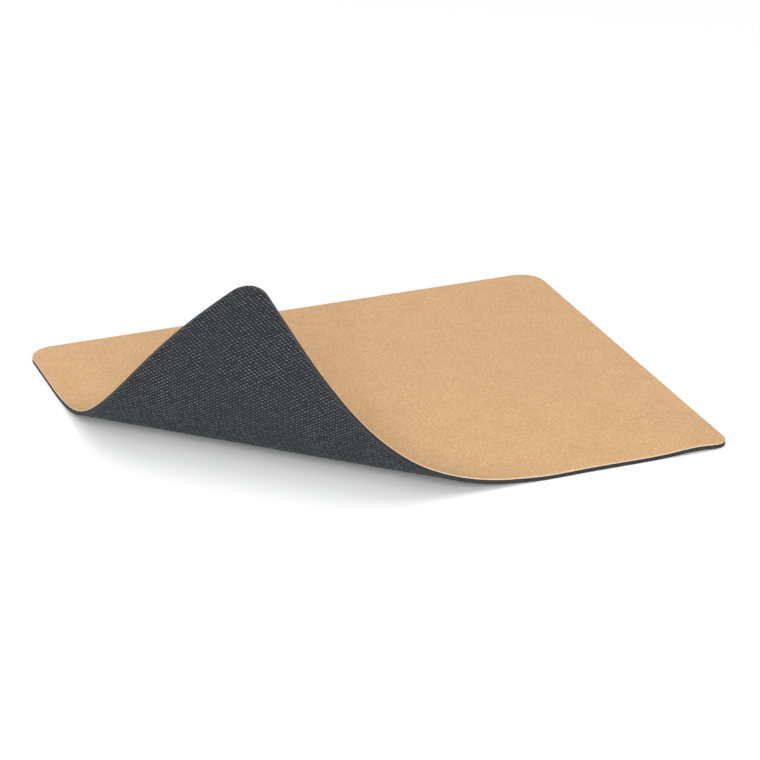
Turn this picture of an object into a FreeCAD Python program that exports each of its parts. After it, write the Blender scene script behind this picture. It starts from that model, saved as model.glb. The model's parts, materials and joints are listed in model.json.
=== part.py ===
import FreeCAD, Part
import os
import Sketcher

# A small desk mat: a thin facing bonded by an adhesive film to a rubber base, with its front
# left corner curled up and over.
#
# Frame: the origin is the middle of the flat mat's footprint, on the desk. +X runs along the
# long sides, +Y towards the back and +Z up. All lengths are in millimetres.
#
# The curl is a bend about parallel lines that cross the corner. Each layer is divided along
# them into a panel, which stays flat on the desk, and a row of strips that ends at the tip.
# Each line is a hinge axis on the mat's top face, which is the inside of the bend, so flat
# strips close up side by side and curled strips open only towards the underside.
#
# The curvature rises and falls along the curl as half a sine wave, from nothing where the
# mat leaves the desk to nothing at the tip. The lines are spaced so that each one takes an
# equal share of the bend: they are closest where the curl is tightest.

DRIVING_SIZES = [
    ("mat_length", 220.0, "long side, along X"),
    ("mat_width", 180.0, "short side, along Y"),
    ("corner_radius", 10.0, "rounding of the corners"),
    ("right_corner_radius", 6.0, "rounding of the front right corner, which is tighter"),
    ("base_thickness", 1.55, "rubber base"),
    ("film_thickness", 0.05, "adhesive film"),
    ("facing_thickness", 0.4, "facing"),
    ("fold_angle", 46.5, "degrees from +X to the line that the corner curls back along"),
    ("curl_reach", 109.0, "length of the curl, back from the corner's sharp point"),
    ("curl_total", 137.0, "degrees that the tip is turned at rest"),
    ("line_count", 18, "hinge lines that share the bend"),
    ("line_gap", 0.05, "room that a strip leaves on its side of a line"),
]

SLAB_MARGIN = 1.0  # how far a slab stands past the mat, above and below

doc = FreeCAD.newDocument("desk_mat")


def make_sheet():
    """The spreadsheet that holds the driving sizes."""
    sheet = doc.addObject("Spreadsheet::Sheet", "Sizes")
    for row, (alias, value, meaning) in enumerate(DRIVING_SIZES, start=1):
        sheet.set(f"A{row}", meaning)
        sheet.set(f"B{row}", str(value))
        sheet.setAlias(f"B{row}", alias)
    doc.recompute()
    return sheet


def origin_plane(body, role):
    """One of a body's own origin planes."""
    return next(item for item in body.Origin.OriginFeatures if item.Role == role)


def draw_outline(sketch):
    """A rectangle of the mat's size, centred on the origin."""
    corners = [(-1, -1), (1, -1), (1, 1), (-1, 1)]
    points = [FreeCAD.Vector(x, y, 0) for x, y in corners]
    for start, end in zip(points, points[1:] + points[:1]):
        sketch.addGeometry(Part.LineSegment(start, end), False)
    for side in range(4):
        sketch.addConstraint(Sketcher.Constraint("Coincident", side, 2, (side + 1) % 4, 1))
        direction = "Horizontal" if side % 2 == 0 else "Vertical"
        sketch.addConstraint(Sketcher.Constraint(direction, side))
    sketch.addConstraint(Sketcher.Constraint("Symmetric", 0, 1, 2, 1, -1, 1))
    length = sketch.addConstraint(Sketcher.Constraint("DistanceX", 0, 1, 0, 2, 2.0))
    width = sketch.addConstraint(Sketcher.Constraint("DistanceY", 1, 1, 1, 2, 2.0))
    sketch.setExpression(f"Constraints[{length}]", "Sizes.mat_length")
    sketch.setExpression(f"Constraints[{width}]", "Sizes.mat_width")


def upright_edges(shape, front_right):
    """Names of the straight edges that stand along Z in the front right quarter, or elsewhere."""
    names = []
    for number, edge in enumerate(shape.Edges, start=1):
        start, end = edge.Vertexes[0].Point, edge.Vertexes[1].Point
        upright = abs((end - start).normalize().z) > 0.99
        if upright and (start.x > 0 and start.y < 0) == front_right:
            names.append(f"Edge{number}")
    return names


def make_blank(layer, thickness, underside):
    """One whole layer of the flat mat, with round corners, from the height `underside` up."""
    body = doc.addObject("PartDesign::Body", f"{layer}_blank")
    sketch = body.newObject("Sketcher::SketchObject", f"{layer}_outline")
    sketch.AttachmentSupport = [(origin_plane(body, "XY_Plane"), "")]
    sketch.MapMode = "FlatFace"
    sketch.setExpression("AttachmentOffset.Base.z", underside)
    draw_outline(sketch)
    pad = body.newObject("PartDesign::Pad", f"{layer}_pad")
    pad.Profile = sketch
    pad.setExpression("Length", thickness)
    doc.recompute()
    corners = body.newObject("PartDesign::Fillet", f"{layer}_corners")
    corners.Base = (pad, upright_edges(pad.Shape, front_right=False))
    corners.setExpression("Radius", "Sizes.corner_radius")
    doc.recompute()
    right_corner = body.newObject("PartDesign::Fillet", f"{layer}_right_corner")
    right_corner.Base = (corners, upright_edges(corners.Shape, front_right=True))
    right_corner.setExpression("Radius", "Sizes.right_corner_radius")
    doc.recompute()
    return body


def line_distance(line):
    """Expression for how far hinge line 1, 2, ... is from the corner's sharp point."""
    return f"Sizes.curl_reach * (1 - acos(1 - {2 * line - 1} / Sizes.line_count) / 180deg)"


def make_slab(name, near, far):
    """A block over what lies between two distances from the corner's sharp point.

    It reaches past the mat on both sides, and stands square to the line that the corner
    curls back along."""
    slab = doc.addObject("Part::Box", name)
    half_width = "Sizes.mat_length"
    slab.setExpression("Length", f"({far}) - ({near})")
    slab.setExpression("Width", f"2 * {half_width}")
    slab.setExpression("Height", f"{MAT_THICKNESS} + {2 * SLAB_MARGIN}")
    slab.Placement = FreeCAD.Placement(
        FreeCAD.Vector(0, 0, -SLAB_MARGIN), FreeCAD.Rotation(FreeCAD.Vector(0, 0, 1), 1)
    )
    slab.setExpression("Placement.Rotation.Angle", "Sizes.fold_angle")
    across = f"{half_width} * sin(Sizes.fold_angle)"
    slab.setExpression(
        "Placement.Base.x", f"-Sizes.mat_length / 2 + ({near}) * cos(Sizes.fold_angle) + {across}"
    )
    across = f"{half_width} * cos(Sizes.fold_angle)"
    slab.setExpression(
        "Placement.Base.y", f"-Sizes.mat_width / 2 + ({near}) * sin(Sizes.fold_angle) - {across}"
    )
    return slab


def make_slabs(count):
    """The slab of the panel, then those of the strips from the first to the tip."""
    gap = "Sizes.line_gap"
    whole_mat = "Sizes.mat_length + Sizes.mat_width"
    slabs = [make_slab("panel_slab", f"{line_distance(1)} + {gap}", whole_mat)]
    for strip in range(1, count + 1):
        near = f"{line_distance(strip + 1)} + {gap}" if strip < count else "0"
        far = f"{line_distance(strip)} - {gap}"
        slabs.append(make_slab(f"strip_slab_{strip:02d}", near, far))
    return slabs


def rest_placements(sheet, slabs):
    """Where the panel and each strip are at rest, each turned about its line on the one before."""
    axis_angle = sheet.fold_angle + 90
    axis = FreeCAD.Rotation(FreeCAD.Vector(0, 0, 1), axis_angle).multVec(FreeCAD.Vector(1, 0, 0))
    inward = FreeCAD.Rotation(FreeCAD.Vector(0, 0, 1), sheet.fold_angle).multVec(FreeCAD.Vector(1, 0, 0))
    thickness = sheet.base_thickness + sheet.film_thickness + sheet.facing_thickness
    corner = FreeCAD.Vector(-sheet.mat_length / 2, -sheet.mat_width / 2, thickness)
    bend = FreeCAD.Rotation(axis, sheet.curl_total / sheet.line_count)
    places = [FreeCAD.Placement()]
    for slab in slabs[1:]:
        edge = (slab.Placement.Base - corner).dot(inward) + slab.Length.Value + sheet.line_gap
        hinge = corner + inward * edge
        turn = FreeCAD.Placement(FreeCAD.Vector(0, 0, 0), bend, hinge)
        places.append(places[-1] * turn)
    return places


def make_pieces(layer, blank, slabs, places):
    """One layer's panel and strips, cut from its blank and set in their places."""
    pieces = []
    for number, (slab, place) in enumerate(zip(slabs, places)):
        name = f"{layer}_panel" if number == 0 else f"{layer}_strip_{number:02d}"
        piece = doc.addObject("Part::Common", name)
        piece.Label = name
        piece.Base = blank
        piece.Tool = slab
        piece.Placement = place
        pieces.append(piece)
    return pieces


def check(pieces):
    """Stops if an object failed to build, or a piece isn't one valid solid."""
    for item in doc.Objects:
        if "Invalid" in item.State or "Error" in item.State:
            raise RuntimeError(f"{item.Name} failed: {item.State}")
    for piece in pieces:
        shape = piece.Shape
        if shape.isNull() or not shape.isValid() or len(shape.Solids) != 1:
            raise RuntimeError(f"{piece.Label} is not one valid solid")


FILM_UNDERSIDE = "Sizes.base_thickness"
FACING_UNDERSIDE = f"{FILM_UNDERSIDE} + Sizes.film_thickness"
MAT_THICKNESS = f"{FACING_UNDERSIDE} + Sizes.facing_thickness"

sizes = make_sheet()
all_slabs = make_slabs(int(sizes.line_count))
doc.recompute()
all_places = rest_placements(sizes, all_slabs)
layers = [
    ("base", "Sizes.base_thickness", "0"),
    ("film", "Sizes.film_thickness", FILM_UNDERSIDE),
    ("facing", "Sizes.facing_thickness", FACING_UNDERSIDE),
]
all_pieces = []
for layer_name, layer_thickness, layer_underside in layers:
    layer_blank = make_blank(layer_name, layer_thickness, layer_underside)
    all_pieces += make_pieces(layer_name, layer_blank, all_slabs, all_places)
doc.recompute()
check(all_pieces)

os.makedirs("parts", exist_ok=True)
for finished in all_pieces:
    finished.Shape.exportStep(f"parts/{finished.Label}.step")
    box = finished.Shape.BoundBox
    print(f"{finished.Label}: {finished.Shape.Volume:.2f} mm3, z {box.ZMin:.2f} to {box.ZMax:.2f}")
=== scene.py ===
"""A small desk mat with its front left corner curled up and over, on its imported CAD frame.

The mat is drawn flat, in three layers, and cut along the lines where one blend between two CAD
bodies gives way to the next. Each piece is then carried onto the smooth curl of the rest shape.
All lengths are in metres."""

import json
import math

import bmesh
import bpy
import numpy as np
from mathutils import Matrix, Vector

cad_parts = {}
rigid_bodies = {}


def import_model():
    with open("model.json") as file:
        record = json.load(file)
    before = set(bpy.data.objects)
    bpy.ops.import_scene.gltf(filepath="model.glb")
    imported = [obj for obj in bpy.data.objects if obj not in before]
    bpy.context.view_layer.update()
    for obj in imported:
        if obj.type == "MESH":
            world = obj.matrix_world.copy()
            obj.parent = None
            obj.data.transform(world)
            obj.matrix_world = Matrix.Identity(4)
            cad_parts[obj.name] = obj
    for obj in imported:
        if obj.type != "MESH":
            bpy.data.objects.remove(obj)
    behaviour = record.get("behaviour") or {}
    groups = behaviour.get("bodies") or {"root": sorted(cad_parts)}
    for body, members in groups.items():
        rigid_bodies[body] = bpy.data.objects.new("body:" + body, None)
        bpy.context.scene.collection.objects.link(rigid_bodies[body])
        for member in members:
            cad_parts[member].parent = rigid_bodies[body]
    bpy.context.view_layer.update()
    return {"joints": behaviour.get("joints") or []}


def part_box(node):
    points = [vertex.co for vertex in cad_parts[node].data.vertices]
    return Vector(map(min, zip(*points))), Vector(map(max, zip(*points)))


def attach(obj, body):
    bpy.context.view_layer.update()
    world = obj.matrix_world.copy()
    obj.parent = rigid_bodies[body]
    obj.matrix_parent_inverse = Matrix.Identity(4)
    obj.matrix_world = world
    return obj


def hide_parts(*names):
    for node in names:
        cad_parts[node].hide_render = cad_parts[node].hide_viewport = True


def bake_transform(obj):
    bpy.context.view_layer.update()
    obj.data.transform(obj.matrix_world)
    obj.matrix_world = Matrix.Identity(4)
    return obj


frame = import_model()

MM = 0.001

# The mat, as the CAD frame gives it.
BASE_LOW, BASE_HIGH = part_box("base_panel")
FILM_LOW, FILM_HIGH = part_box("film_panel")
FACING_LOW, FACING_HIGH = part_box("facing_panel")
HALF = np.array([(BASE_HIGH.x - BASE_LOW.x) / 2, (BASE_HIGH.y - BASE_LOW.y) / 2])
TOP = FACING_HIGH.z
CORNER_RADIUS = 10 * MM
RIGHT_CORNER_RADIUS = 6 * MM

# The curl: hinge lines with equal turns, which share a bend that grows and fades as half a sine.
LINES = frame["joints"]
COUNT = len(LINES)
STEP = -math.radians(LINES[0]["range_deg"][0])
AXIS = np.array(LINES[0]["axis"][:2])
INWARD = np.array([AXIS[1], -AXIS[0]])
TIP_CORNER = -HALF
BODIES = [LINES[0]["parent"]] + [line["child"] for line in LINES]
FIRST_LINE = float((np.array(LINES[0]["pos_m"][:2]) - TIP_CORNER) @ INWARD)
REACH = FIRST_LINE / (1 - math.acos(1 - 1 / COUNT) / math.pi)
CURVE_SAMPLES = 6001
EXACT_SHARE = 0.3
FIXING_ROUNDS = 14

# Relief moulded into the underside: the print of a plain weave.
FIRST_THREADS = np.array([905.0, 290.0])
SECOND_THREADS = np.array([190.0, 845.0])
CROSS_LEVEL = 0.9
UNEVENNESS = 0.4
RELIEF = 0.50 * MM
PLAIN_RIM = 0.5 * MM
RIM_FADE = 0.9 * MM
RIM_LEVEL = 0.95
# The print level that the plain rim is painted at, between the painted shade of the hollows and the
# painted highlight of the crests.
RIM_SHADE = 0.45
# Numbers that the rubber's material reads at each point: the print's height, where the point is
# across both sets of threads, and how far it is into the printed area. From the height, the material
# paints the print's low places dark as painted shade and its crests light as painted highlight.
PRINT, FIRST_PLACE, SECOND_PLACE, PRINTED = "print", "first_place", "second_place", "printed"
PLACE_START = 400

# Grid cells of each layer.
BASE_CELL = 0.275 * MM
BASE_RATIO = 4
PANEL_BASE_CELL = 0.556 * MM
FACING_CELL = 1.1 * MM
FILM_CELL = 2.2 * MM
BASE_EDGE = 0.1 * MM
FACING_EDGE = 0.1 * MM
FILM_INSET = 0.1 * MM
SEAM_ROW = 0.05 * MM
SEAM_MARGIN = 1 * MM
BEYOND_THE_MAT = 10.0
SMOOTH_BELOW = math.radians(25)

# Very slight waves along the front edge, where the mat has been handled. They end where the
# edge lies flat, before one last small lift beside the right corner.
WAVE_HEIGHT = 0.3 * MM
WAVE_LENGTH = 62 * MM
WAVE_FADE = 45 * MM
WAVES_END = 55 * MM
WAVES_END_SPREAD = 20 * MM
LIFT_HEIGHT = 0.85 * MM
LIFT_PLACE = 96 * MM
LIFT_SPREAD = 7 * MM


def smoothstep(value):
    """0 to 1, with a soft start and end."""
    value = np.clip(value, 0, 1)
    return value * value * (3 - 2 * value)


# ---------------------------------------------------------------- the curl


def make_curve():
    """Distance along the mat from where it lifts, with the curl's outward, up and angle there."""
    along = np.linspace(0, REACH, CURVE_SAMPLES)
    angle = COUNT * STEP * (1 - np.cos(math.pi * along / REACH)) / 2
    gap = along[1] - along[0]
    across, up = np.cos(angle), np.sin(angle)
    out = np.concatenate([[0], np.cumsum((across[1:] + across[:-1]) / 2 * gap)])
    rise = np.concatenate([[0], np.cumsum((up[1:] + up[:-1]) / 2 * gap)])
    return along, out, rise, angle


CURVE = make_curve()


def line_place(line):
    """How far hinge line 1, 2, ... is along the flat mat from where the curl lifts."""
    return REACH * math.acos(1 - (2 * line - 1) / COUNT) / math.pi


def seam_place(seam):
    """How far the seam before piece seam + 1 is along the flat mat."""
    return REACH * math.acos(1 - 2 * seam / COUNT) / math.pi


def hinge_point(line):
    """Hinge line 1, 2, ... at rest, as (outward, up)."""
    place = np.array(LINES[line - 1]["pos_m"])
    return np.array([REACH - (place[:2] - TIP_CORNER) @ INWARD, place[2]])


def rolled(along, height):
    """A point of the flat mat on the smooth curl, as (outward, up)."""
    table, out, rise, angle = CURVE
    turn = np.interp(along, table, angle)
    depth = TOP - height
    across = np.where(along < 0, along, np.interp(along, table, out))
    up = TOP + np.interp(along, table, rise)
    return np.stack([across + depth * np.sin(turn), up - depth * np.cos(turn)], -1)


def turned(points, pivot, angle):
    """(outward, up) points turned about a hinge line, up from the desk."""
    rel = points - pivot
    cos, sin = np.cos(angle), np.sin(angle)
    return pivot + np.stack([rel[..., 0] * cos - rel[..., 1] * sin,
                             rel[..., 0] * sin + rel[..., 1] * cos], -1)


def carried(along, height, body):
    """A point of the flat mat, carried to rest by one of the flat CAD bodies."""
    flat = np.stack([along, height], -1)
    if body == 0:
        return flat
    start = np.array([line_place(body), TOP])
    moved = flat - start + hinge_point(body)
    return turned(moved, hinge_point(body), body * STEP)


def curled(along, height, piece):
    """A point at rest, as (outward, up): mostly the smooth curl, and partly the shape that goes
    flat exactly when the blend across the piece's hinge line is undone."""
    smooth = rolled(along, height)
    if piece == 0:
        return smooth
    middle = np.array([TOP / 2])
    start = rolled(np.array([seam_place(piece - 1)]), middle)[0]
    chord = rolled(np.array([seam_place(piece)]), middle)[0] - start
    still = carried(along, height, piece - 1)
    place = smooth
    for _ in range(FIXING_ROUNDS):
        share = smoothstep((place - start) @ chord / (chord @ chord))
        exact = turned(still, hinge_point(piece), share * STEP)
        place = (1 - EXACT_SHARE) * smooth + EXACT_SHARE * exact
    return place


def to_rest(flat, piece):
    """Flat points, as rows of x, y and z, where they are at rest in piece 0, 1, ..."""
    offset = flat[:, :2] - TIP_CORNER
    along = REACH - offset @ INWARD
    place = curled(along, flat[:, 2], piece)
    ground = TIP_CORNER + np.outer(REACH - place[:, 0], INWARD) + np.outer(offset @ AXIS, AXIS)
    return np.column_stack([ground, place[:, 1]])


# ---------------------------------------------------------------- the flat layers


def corner_round(x, y):
    """How round the nearest corner is, and how far in from the mat's middle its centre is."""
    front_right = (x > 0) & (y < 0)
    radius = np.where(front_right, RIGHT_CORNER_RADIUS, CORNER_RADIUS)
    return radius, HALF[0] - radius, HALF[1] - radius


def round_corners(x, y):
    """Grid points of a rectangle, moved so that its corners are round."""
    radius, inner_x, inner_y = corner_round(x, y)
    p = (np.abs(x) - inner_x) / radius
    q = (np.abs(y) - inner_y) / radius
    corner = (p > 0) & (q > 0)
    longest = np.maximum(p, q)
    share = np.where(corner, longest / np.maximum(np.hypot(p, q), 1e-9), 1)
    new_x = np.where(corner, np.sign(x) * (inner_x + radius * p * share), x)
    new_y = np.where(corner, np.sign(y) * (inner_y + radius * q * share), y)
    return new_x, new_y


def edge_normal(x, y):
    """Outward direction at points of the mat's outline."""
    _, inner_x, inner_y = corner_round(x, y)
    p = np.maximum(np.abs(x) - inner_x, 0) * np.sign(x)
    q = np.maximum(np.abs(y) - inner_y, 0) * np.sign(y)
    length = np.maximum(np.hypot(p, q), 1e-12)
    return p / length, q / length


def edge_distance(x, y):
    """How far points are inside the mat's outline."""
    radius, inner_x, inner_y = corner_round(x, y)
    p, q = np.abs(x) - inner_x, np.abs(y) - inner_y
    outside = np.hypot(np.maximum(p, 0), np.maximum(q, 0))
    return radius - outside - np.minimum(np.maximum(p, q), 0)


def uneven(u, v):
    """A number from 0 to 1 for each crossing of the threads, in no order."""
    mixed = np.sin(12.9898 * np.floor(u) + 78.233 * np.floor(v) + 0.5) * 43758.5453
    return mixed - np.floor(mixed)


def thread_places(x, y):
    """Where points are across the first and the second threads, in threads."""
    u = FIRST_THREADS[0] * x + FIRST_THREADS[1] * y
    v = SECOND_THREADS[0] * x + SECOND_THREADS[1] * y
    return u, v


def weave(x, y):
    """The woven print, from 0 in the holes to 1 on top of the threads.

    The two sets of threads cross at a slant, and go over and under each other in turn."""
    u, v = thread_places(x, y)
    over = (np.floor(u) + np.floor(v)) % 2 == 0
    across_u = np.abs(np.sin(math.pi * u))
    across_v = np.abs(np.sin(math.pi * v))
    long_thread = across_u ** 0.8 * across_v ** 0.5
    cross_thread = across_v ** 0.8 * across_u ** 0.5
    height = 1 - UNEVENNESS * uneven(u, v)
    return height * np.where(over, long_thread, CROSS_LEVEL * cross_thread)


def printed(x, y):
    """0 on the plain rim beside the mat's edge, and 1 where the print is at its full depth."""
    return smoothstep((edge_distance(x, y) - PLAIN_RIM) / RIM_FADE)


def print_level(x, y, rim):
    """The woven print, which fades to the level of the plain rim."""
    return rim + (weave(x, y) - rim) * printed(x, y)


def relief(x, y):
    """How far the underside is above the desk."""
    return RELIEF * (1 - print_level(x, y, RIM_LEVEL))


def wave(flat):
    """Very slight waves of the mat, which fade away from its front edge and from the desk."""
    x, from_front = flat[:, 0], flat[:, 1] + HALF[1]
    fade = 1 - smoothstep(from_front / WAVE_FADE)
    ripple = 0.5 + 0.5 * np.sin(2 * math.pi * x / WAVE_LENGTH + 0.6)
    second = 0.5 + 0.5 * np.sin(2 * math.pi * x / (WAVE_LENGTH * 0.43) + 2.0)
    ending = 1 - smoothstep((x - WAVES_END) / WAVES_END_SPREAD)
    waves = WAVE_HEIGHT * (0.75 * ripple + 0.25 * second) * ending
    lift = LIFT_HEIGHT * np.exp(-0.5 * ((x - LIFT_PLACE) / LIFT_SPREAD) ** 2)
    return fade * (waves + lift)


def grid_line(half, cell, ratio):
    """Even positions across the mat, in a number of cells that the ratio divides."""
    cells = ratio * max(1, round(2 * half / (cell * ratio)))
    return np.linspace(-half, half, cells + 1)


def outline_order(nx, ny):
    """Grid places round the outline, once round against the clock, as rows of i and j."""
    front = [(i, 0) for i in range(nx)]
    right = [(nx, j) for j in range(ny)]
    back = [(i, ny) for i in range(nx, 0, -1)]
    left = [(0, j) for j in range(ny, 0, -1)]
    return np.array(front + right + back + left)


class Layer:
    """A closed flat layer with round corners: fine cells below, and coarser ones above."""

    def __init__(self, cell, ratio, rings, bottom):
        """rings are (inset, height) pairs up the layer's wall. bottom gives the underside's
        height from x and y, or is None for a plain one."""
        self.ratio = ratio
        self.xs = grid_line(HALF[0], cell, ratio)
        self.ys = grid_line(HALF[1], cell, ratio)
        self.nx, self.ny = len(self.xs) - 1, len(self.ys) - 1
        x, y = round_corners(*np.meshgrid(self.xs, self.ys, indexing="ij"))
        self.along = REACH - (np.stack([x, y], -1) - TIP_CORNER) @ INWARD
        self.order = outline_order(self.nx, self.ny)
        i, j = self.order.T
        self.edge = (x[i, j], y[i, j])
        self.normal = edge_normal(*self.edge)
        low = np.full(x.shape, rings[0][1])
        if bottom is not None:
            low = rings[0][1] + bottom(x, y)
        below = np.stack([x, y, low], -1)
        above = np.stack([x, y, np.full(x.shape, rings[-1][1])], -1)
        self.set_ring(below, rings[0], low[i, j])
        self.set_ring(above, rings[-1], rings[-1][1])
        middle = [self.ring(inset, height) for inset, height in rings[1:-1]]
        self.points = np.concatenate([below.reshape(-1, 3), above.reshape(-1, 3)] + middle)
        self.rings = len(middle)

    def ring(self, inset, height):
        """Points round the outline, inset from it."""
        x = self.edge[0] - inset * self.normal[0]
        y = self.edge[1] - inset * self.normal[1]
        return np.column_stack([x, y, np.broadcast_to(height, x.shape)])

    def set_ring(self, points, ring, height):
        """Moves the outline's own grid points to their inset."""
        i, j = self.order.T
        points[i, j] = self.ring(ring[0], height)

    def below(self, i, j):
        """Numbers of points in the fine grid of the underside."""
        return i * (self.ny + 1) + j

    def above(self, i, j):
        """Numbers of points in the upper grid."""
        return (self.nx + 1) * (self.ny + 1) + self.below(i, j)

    def wall(self, ring, place):
        """Numbers of points in a middle ring of the wall."""
        place = place % len(self.order)
        return 2 * (self.nx + 1) * (self.ny + 1) + ring * len(self.order) + place

    def blocks_in(self, near, far):
        """Which coarse cells reach into a stretch along the curl."""
        r = self.ratio
        corners = self.along[::r, ::r]
        four = np.stack([corners[:-1, :-1], corners[1:, :-1], corners[:-1, 1:], corners[1:, 1:]])
        return (four.max(0) > near - SEAM_MARGIN) & (four.min(0) < far + SEAM_MARGIN)

    def mesh(self, near, far):
        """The layer's cells from one place along the curl to another, with (faces, on the wall)."""
        keep = self.blocks_in(near, far)
        r = self.ratio
        bi, bj = np.nonzero(keep)
        step_i, step_j = np.meshgrid(np.arange(r), np.arange(r), indexing="ij")
        fine_i = (bi[:, None, None] * r + step_i).ravel()
        fine_j = (bj[:, None, None] * r + step_j).ravel()
        under = np.stack([self.below(fine_i, fine_j), self.below(fine_i, fine_j + 1),
                          self.below(fine_i + 1, fine_j + 1), self.below(fine_i + 1, fine_j)], -1)
        i, j = bi * r, bj * r
        over = np.stack([self.above(i, j), self.above(i + r, j),
                         self.above(i + r, j + r), self.above(i, j + r)], -1)
        faces = under.tolist() + over.tolist()
        plain = len(faces)
        faces += self.wall_faces(keep)
        return faces, plain

    def wall_faces(self, keep):
        """The faces of the wall beside the cells that are kept."""
        r, total = self.ratio, len(self.order)
        faces = []
        for start in range(0, total, r):
            first, last = self.order[start], self.order[(start + r) % total]
            block = np.minimum(np.minimum(first, last) // r, np.array(keep.shape) - 1)
            if not keep[block[0], block[1]]:
                continue
            places = [start + step for step in range(r + 1)]
            chain = [int(self.below(*self.order[place % total])) for place in places]
            for ring in range(self.rings):
                higher = [int(self.wall(ring, place)) for place in places]
                faces += [[chain[n], chain[n + 1], higher[n + 1], higher[n]] for n in range(r)]
                chain = higher
            faces.append(chain + [int(self.above(*last)), int(self.above(*first))])
        return faces


def cut_piece(layer, number, name):
    """One piece of a layer, still flat, between two seams."""
    near = seam_place(number - 1) if number > 0 else -BEYOND_THE_MAT
    far = seam_place(number) if number < COUNT else BEYOND_THE_MAT
    faces, plain = layer.mesh(near, far)
    used = np.unique(np.concatenate([np.array(face) for face in faces]))
    renumber = np.full(len(layer.points), -1)
    renumber[used] = np.arange(len(used))
    mesh = bpy.data.meshes.new(name)
    mesh.from_pydata(layer.points[used].tolist(), [], [renumber[face].tolist() for face in faces])
    mesh.polygons.foreach_set("material_index", [0] * plain + [1] * (len(faces) - plain))
    bm = bmesh.new()
    bm.from_mesh(mesh)
    if number > 0:
        slice_at(bm, near, keep_beyond=True)
    if number < COUNT:
        slice_at(bm, far, keep_beyond=False)
    bm.to_mesh(mesh)
    bm.free()
    return mesh


def slice_at(bm, along, keep_beyond):
    """Cuts off the mesh at a place along the curl, and closes the cut."""
    outward = Vector((-INWARD[0], -INWARD[1], 0))
    ground = TIP_CORNER + (REACH - along) * INWARD
    aside = SEAM_ROW if keep_beyond else -SEAM_ROW
    row = ground - aside * INWARD
    for place, clear in ((row, False), (ground, True)):
        everything = bm.verts[:] + bm.edges[:] + bm.faces[:]
        cut = bmesh.ops.bisect_plane(
            bm, geom=everything, dist=1e-8,
            plane_co=Vector((place[0], place[1], 0)), plane_no=outward,
            clear_inner=clear and keep_beyond, clear_outer=clear and not keep_beyond,
        )["geom_cut"]
    edges = [item for item in cut if isinstance(item, bmesh.types.BMEdge)]
    for face in bmesh.ops.edgeloop_fill(bm, edges=edges, mat_nr=1)["faces"]:
        face.material_index = 1
    bmesh.ops.recalc_face_normals(bm, faces=bm.faces[:])


def store_print(mesh, x, y):
    """Gives each point of the rubber the numbers that its material reads."""
    u, v = thread_places(x, y)
    numbers = {PRINT: print_level(x, y, RIM_SHADE), PRINTED: printed(x, y),
               FIRST_PLACE: u + PLACE_START, SECOND_PLACE: v + PLACE_START}
    for name, values in numbers.items():
        stored = mesh.attributes.new(name, "FLOAT", "POINT")
        stored.data.foreach_set("value", values.astype(np.float32))


def set_shape(mesh, number, smooth):
    """Carries a flat piece to rest, and sets how it is shaded."""
    flat = np.empty(len(mesh.vertices) * 3)
    mesh.vertices.foreach_get("co", flat)
    flat = flat.reshape(-1, 3)
    if not smooth:
        store_print(mesh, flat[:, 0], flat[:, 1])
    flat[:, 2] += wave(flat)
    mesh.vertices.foreach_set("co", to_rest(flat, number).ravel())
    mesh.polygons.foreach_set("use_smooth", [smooth] * len(mesh.polygons))
    if smooth:
        mesh.set_sharp_from_angle(angle=SMOOTH_BELOW)
    mesh.update()


def make_piece(layer, kind, number, materials, smooth):
    """One finished piece of a layer. The panel piece goes on the first CAD body; the curl pieces
    stay in place at rest, on no body.
    """
    node = f"{kind}_panel" if number == 0 else f"{kind}_strip_{number:02d}"
    name = f"{kind}_sheet" if number == 0 else f"{kind}_curl_{number:02d}"
    mesh = cut_piece(layer, number, name)
    for material in materials:
        mesh.materials.append(material)
    set_shape(mesh, number, smooth)
    piece = bpy.data.objects.new(name, mesh)
    bpy.context.scene.collection.objects.link(piece)
    if number == 0:
        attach(piece, BODIES[0])
    else:
        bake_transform(piece)
    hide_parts(node)
    return piece


# ---------------------------------------------------------------- materials


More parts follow.
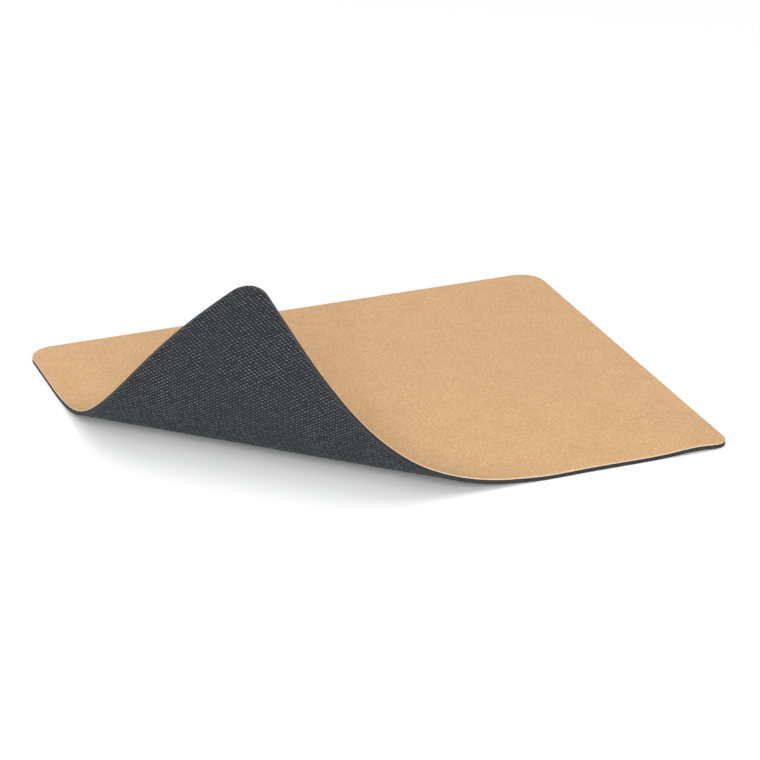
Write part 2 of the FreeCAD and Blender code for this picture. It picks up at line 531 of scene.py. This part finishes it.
class Nodes:
    """A material's node tree, with short ways to add to it."""

    def __init__(self, name):
        self.material = bpy.data.materials.new(name)
        self.material.use_nodes = True
        self.tree = self.material.node_tree
        self.shader = self.tree.nodes["Principled BSDF"]
        self.place = self.add("ShaderNodeTexCoord").outputs["Object"]

    def add(self, kind, **values):
        """A node, with values for its named inputs."""
        node = self.tree.nodes.new(kind)
        for key, value in values.items():
            node.inputs[key].default_value = value
        return node

    def attribute(self, name):
        """A number that the mesh holds at each of its points."""
        node = self.tree.nodes.new("ShaderNodeAttribute")
        node.attribute_name = name
        return node.outputs["Fac"]

    def link(self, output, target):
        self.tree.links.new(output, target)

    def stretched(self, scale):
        """The place, scaled by different amounts along x, y and z."""
        node = self.add("ShaderNodeMapping", Scale=scale)
        self.link(self.place, node.inputs["Vector"])
        return node.outputs["Vector"]

    def noise(self, scale, detail=2.0, roughness=0.5, place=None):
        """Noise from 0 to 1. scale is in cells a metre."""
        node = self.add("ShaderNodeTexNoise", Scale=scale, Detail=detail, Roughness=roughness)
        self.link(place or self.place, node.inputs["Vector"])
        return node.outputs["Fac"]

    def ramp(self, value, low, high, to_low=0.0, to_high=1.0):
        """A value moved from one range to another, softly, and kept inside it."""
        node = self.tree.nodes.new("ShaderNodeMapRange")
        node.interpolation_type = "SMOOTHSTEP"
        for socket, number in zip(node.inputs[1:5], (low, high, to_low, to_high)):
            socket.default_value = number
        self.link(value, node.inputs["Value"])
        return node.outputs["Result"]

    def math(self, operation, first, second):
        """Two values put together. Each is an output or a number."""
        node = self.tree.nodes.new("ShaderNodeMath")
        node.operation = operation
        for socket, value in zip(node.inputs, (first, second)):
            if isinstance(value, (int, float)):
                socket.default_value = value
            else:
                self.link(value, socket)
        return node.outputs["Value"]

    def mix(self, share, first, second):
        """Two colours mixed. Each is an output or a colour."""
        node = self.tree.nodes.new("ShaderNodeMix")
        node.data_type = "RGBA"
        self.link(share, node.inputs["Factor"])
        sockets = [item for item in node.inputs if item.type == "RGBA"]
        for socket, value in zip(sockets, (first, second)):
            if isinstance(value, tuple):
                socket.default_value = (*value, 1)
            else:
                self.link(value, socket)
        return next(item for item in node.outputs if item.type == "RGBA")

    def bump(self, height, strength, distance):
        """The shader's surface, roughened by a height from 0 to 1."""
        node = self.add("ShaderNodeBump", Strength=strength, Distance=distance)
        self.link(height, node.inputs["Height"])
        self.link(node.outputs["Normal"], self.shader.inputs["Normal"])

    def finish(self, colour, roughness, **values):
        """Connects the colour and roughness, and sets the shader's uniform values."""
        self.link(colour, self.shader.inputs["Base Color"])
        self.link(roughness, self.shader.inputs["Roughness"])
        for key, value in values.items():
            self.shader.inputs[key].default_value = value
        return self.material


def fibre_grain(nodes):
    """Short fibres pressed together in all directions, from 0 to 1."""
    lengthwise = nodes.noise(1, 2.0, 0.6, nodes.stretched((900, 2300, 1600)))
    crosswise = nodes.noise(1, 2.0, 0.6, nodes.stretched((2300, 900, 1600)))
    return nodes.math("MULTIPLY", nodes.math("ADD", lengthwise, crosswise), 0.5)


def facing_material():
    """Tan facing of pressed fibres: matte, with fine flecks."""
    nodes = Nodes("tan_fibre_facing")
    grain = fibre_grain(nodes)
    cloud = nodes.noise(90, 3.0, 0.55)
    base = nodes.mix(nodes.ramp(cloud, 0.3, 0.7), (0.540, 0.326, 0.162), (0.603, 0.374, 0.193))
    fine = nodes.mix(nodes.ramp(grain, 0.36, 0.64), (0.424, 0.247, 0.117), (0.690, 0.455, 0.254))
    grained = nodes.mix(nodes.ramp(cloud, 0.0, 1.0, 0.50, 0.70), base, fine)
    fleck = nodes.ramp(nodes.noise(620, 1.0), 0.68, 0.80, 0.0, 0.35)
    flecked = nodes.mix(fleck, grained, (0.350, 0.195, 0.090))
    pale = nodes.ramp(nodes.noise(760, 1.0, 0.5, nodes.stretched((1, 1, 1.3))), 0.70, 0.80, 0.0, 0.5)
    colour = nodes.mix(pale, flecked, (0.780, 0.580, 0.380))
    nodes.bump(grain, 0.35, 0.00012)
    roughness = nodes.ramp(grain, 0.3, 0.7, 0.93, 0.80)
    return nodes.finish(colour, roughness, **{"Specular IOR Level": 0.25})


def facing_cut_material():
    """The facing's cut edge, where pale fibre ends show."""
    nodes = Nodes("tan_fibre_cut")
    grain = fibre_grain(nodes)
    colour = nodes.mix(nodes.ramp(grain, 0.35, 0.65), (0.500, 0.360, 0.235), (0.640, 0.500, 0.360))
    nodes.bump(grain, 0.4, 0.0001)
    return nodes.finish(colour, nodes.ramp(grain, 0.3, 0.7, 0.95, 0.85),
                        **{"Specular IOR Level": 0.2})


# The rubber's colour uses this level to paint a highlight along the thread crests.
def crest_level(nodes):
    """1 along the crest of each moulded thread and 0 beside it. The first threads show where
    they go over the second ones, and the second threads elsewhere."""
    first, second = nodes.attribute(FIRST_PLACE), nodes.attribute(SECOND_PLACE)
    cells = nodes.math("ADD", nodes.math("FLOOR", first, 0.0), nodes.math("FLOOR", second, 0.0))
    crossed = nodes.math("MODULO", cells, 2.0)
    shown = []
    for place in (first, second):
        turns = nodes.math("MULTIPLY", place, 2 * math.pi)
        shown.append(nodes.ramp(nodes.math("COSINE", turns, 0.0), -1.0, 0.5, 1.0, 0.0))
    over = nodes.math("MULTIPLY", shown[0], nodes.math("SUBTRACT", 1.0, crossed))
    level = nodes.math("ADD", over, nodes.math("MULTIPLY", shown[1], crossed))
    gap = nodes.math("MULTIPLY", nodes.math("SUBTRACT", 1.0, level), nodes.attribute(PRINTED))
    return nodes.math("SUBTRACT", 1.0, gap)


def rubber_material():
    """The underside's rubber: dark grey, a dull shine and a painted highlight on the thread tops,
    painted shade in the hollows.
    """
    nodes = Nodes("moulded_rubber")
    cloud = nodes.noise(60, 4.0, 0.6)
    grit = nodes.noise(2600, 2.0, 0.6)
    crests = crest_level(nodes)
    # Mask of the print's high places and thread crests: the colour paints a highlight there and
    # shade elsewhere, and the roughness is lower there.
    painted_crest_mask = nodes.math("MULTIPLY", nodes.ramp(nodes.attribute(PRINT), 0.2, 0.95),
                        nodes.ramp(crests, 0.0, 1.0, 0.12, 1.0))
    # Painted shade: near black in the hollows. Painted highlight: light grey on the thread tops.
    threads = nodes.mix(painted_crest_mask, (0.003, 0.003, 0.004), (0.118, 0.123, 0.140))
    clouded = nodes.mix(nodes.ramp(cloud, 0.35, 0.65, 0.05, 0.45), threads, (0.024, 0.025, 0.029))
    colour = nodes.mix(nodes.ramp(grit, 0.4, 0.7, 0.0, 0.12), clouded, (0.055, 0.058, 0.066))
    nodes.bump(nodes.math("ADD", crests, nodes.math("MULTIPLY", grit, 0.4)), 0.4, 0.00010)
    worn = nodes.math("MULTIPLY", nodes.ramp(cloud, 0.3, 0.7, 0.9, 1.1),
                      nodes.ramp(painted_crest_mask, 0.0, 1.0, 0.85, 0.32))
    return nodes.finish(colour, worn, **{"Specular IOR Level": 0.3})


def rubber_cut_material():
    """The rubber's cut edge: darker and duller than the moulded face."""
    nodes = Nodes("cut_rubber")
    pores = nodes.noise(1900, 3.0, 0.65)
    colour = nodes.mix(nodes.ramp(pores, 0.35, 0.65), (0.014, 0.014, 0.016), (0.030, 0.030, 0.033))
    nodes.bump(pores, 0.5, 0.00012)
    return nodes.finish(colour, nodes.ramp(pores, 0.3, 0.7, 0.85, 0.65),
                        **{"Specular IOR Level": 0.3})


def film_material():
    """The adhesive film: yellowish and slightly glossy where its edge shows."""
    nodes = Nodes("adhesive_film")
    streak = nodes.noise(700, 2.0)
    colour = nodes.mix(nodes.ramp(streak, 0.35, 0.65), (0.42, 0.33, 0.20), (0.55, 0.45, 0.30))
    nodes.bump(streak, 0.2, 0.00005)
    return nodes.finish(colour, nodes.ramp(streak, 0.3, 0.7, 0.35, 0.5),
                        **{"Specular IOR Level": 0.4})


def floor_material():
    """A plain pale floor."""
    nodes = Nodes("pale_floor")
    tone = nodes.noise(3, 1.0)
    colour = nodes.mix(tone, (0.93, 0.93, 0.93), (0.95, 0.95, 0.95))
    return nodes.finish(colour, nodes.ramp(tone, 0.3, 0.7, 0.9, 0.95),
                        **{"Specular IOR Level": 0.1})


# ---------------------------------------------------------------- the mat


def make_layers():
    """Every piece of the three layers."""
    base_rings = [(BASE_EDGE, 0.0), (0, BASE_EDGE + RELIEF * (1 - RIM_LEVEL)), (0, BASE_HIGH.z)]
    fine_base = Layer(BASE_CELL, BASE_RATIO, base_rings, relief)
    panel_base = Layer(PANEL_BASE_CELL, BASE_RATIO, base_rings, relief)
    film = Layer(FILM_CELL, 1, [(FILM_INSET, FILM_LOW.z), (FILM_INSET, FILM_HIGH.z)], None)
    facing_rings = [(0, FACING_LOW.z), (0, TOP - FACING_EDGE), (FACING_EDGE, TOP)]
    facing = Layer(FACING_CELL, 1, facing_rings, None)
    rubber = [rubber_material(), rubber_cut_material()]
    glue = [film_material()] * 2
    tan = [facing_material(), facing_cut_material()]
    made = []
    for number in range(COUNT + 1):
        base = panel_base if number == 0 else fine_base
        make_piece(base, "base", number, rubber, False)
        make_piece(film, "film", number, glue, True)
        made.append(make_piece(facing, "facing", number, tan, True))
    return made


# ---------------------------------------------------------------- camera, floor and light

CAMERA_AIM = Vector((11.31, 14.74, 0.0)) * MM
CAMERA_DISTANCE = 1171.4 * MM
CAMERA_AZIMUTH = -21.045
CAMERA_ELEVATION = 24.237
CAMERA_ROLL = -0.308
CAMERA_LENS = 142.57
SENSOR = 36.0


def make_camera():
    """A long lens from the front left, a little above the mat."""
    azimuth, elevation = math.radians(CAMERA_AZIMUTH), math.radians(CAMERA_ELEVATION)
    look = Vector((-math.sin(azimuth) * math.cos(elevation),
                   math.cos(azimuth) * math.cos(elevation), -math.sin(elevation)))
    right = Vector((math.cos(azimuth), math.sin(azimuth), 0))
    up = right.cross(look)
    roll = math.radians(CAMERA_ROLL)
    side = right * math.cos(roll) + up * math.sin(roll)
    top = up * math.cos(roll) - right * math.sin(roll)
    camera = bpy.data.objects.new("camera", bpy.data.cameras.new("camera"))
    camera.data.lens = CAMERA_LENS
    camera.data.sensor_width = SENSOR
    camera.data.clip_end = 50
    turn = Matrix((side, top, -look)).transposed().to_4x4()
    camera.matrix_world = Matrix.Translation(CAMERA_AIM - look * CAMERA_DISTANCE) @ turn
    bpy.context.scene.collection.objects.link(camera)
    bpy.context.scene.camera = camera


FLOOR_HALF = 6.0


def make_floor():
    """A wide pale floor under the mat."""
    mesh = bpy.data.meshes.new("floor")
    side = FLOOR_HALF
    corners = [(-side, -side, 0), (side, -side, 0), (side, side, 0), (-side, side, 0)]
    mesh.from_pydata(corners, [], [(0, 1, 2, 3)])
    mesh.materials.append(floor_material())
    floor = bpy.data.objects.new("floor", mesh)
    bpy.context.scene.collection.objects.link(floor)


def make_light(name, place, size, power):
    """A square soft box that looks at the mat."""
    light = bpy.data.lights.new(name, "AREA")
    light.size = size
    light.energy = power
    item = bpy.data.objects.new(name, light)
    item.location = place
    item.rotation_euler = (-Vector(place)).to_track_quat("-Z", "Y").to_euler()
    bpy.context.scene.collection.objects.link(item)


def make_studio():
    """Soft light all round, with soft boxes above and in front."""
    world = bpy.data.worlds.new("studio")
    bpy.context.scene.world = world
    world.use_nodes = True
    background = world.node_tree.nodes["Background"]
    background.inputs["Color"].default_value = (1, 1, 1, 1)
    background.inputs["Strength"].default_value = 0.6
    make_light("overhead", (0.1, 0.3, 2.8), 2.4, 18)
    make_light("front", (-0.75, -1.75, 0.95), 1.0, 40)
    make_light("key_left", (-1.3, -0.5, 1.7), 0.7, 6)
    bpy.context.scene.view_settings.view_transform = "Standard"


facings = make_layers()
make_floor()
make_studio()
make_camera()
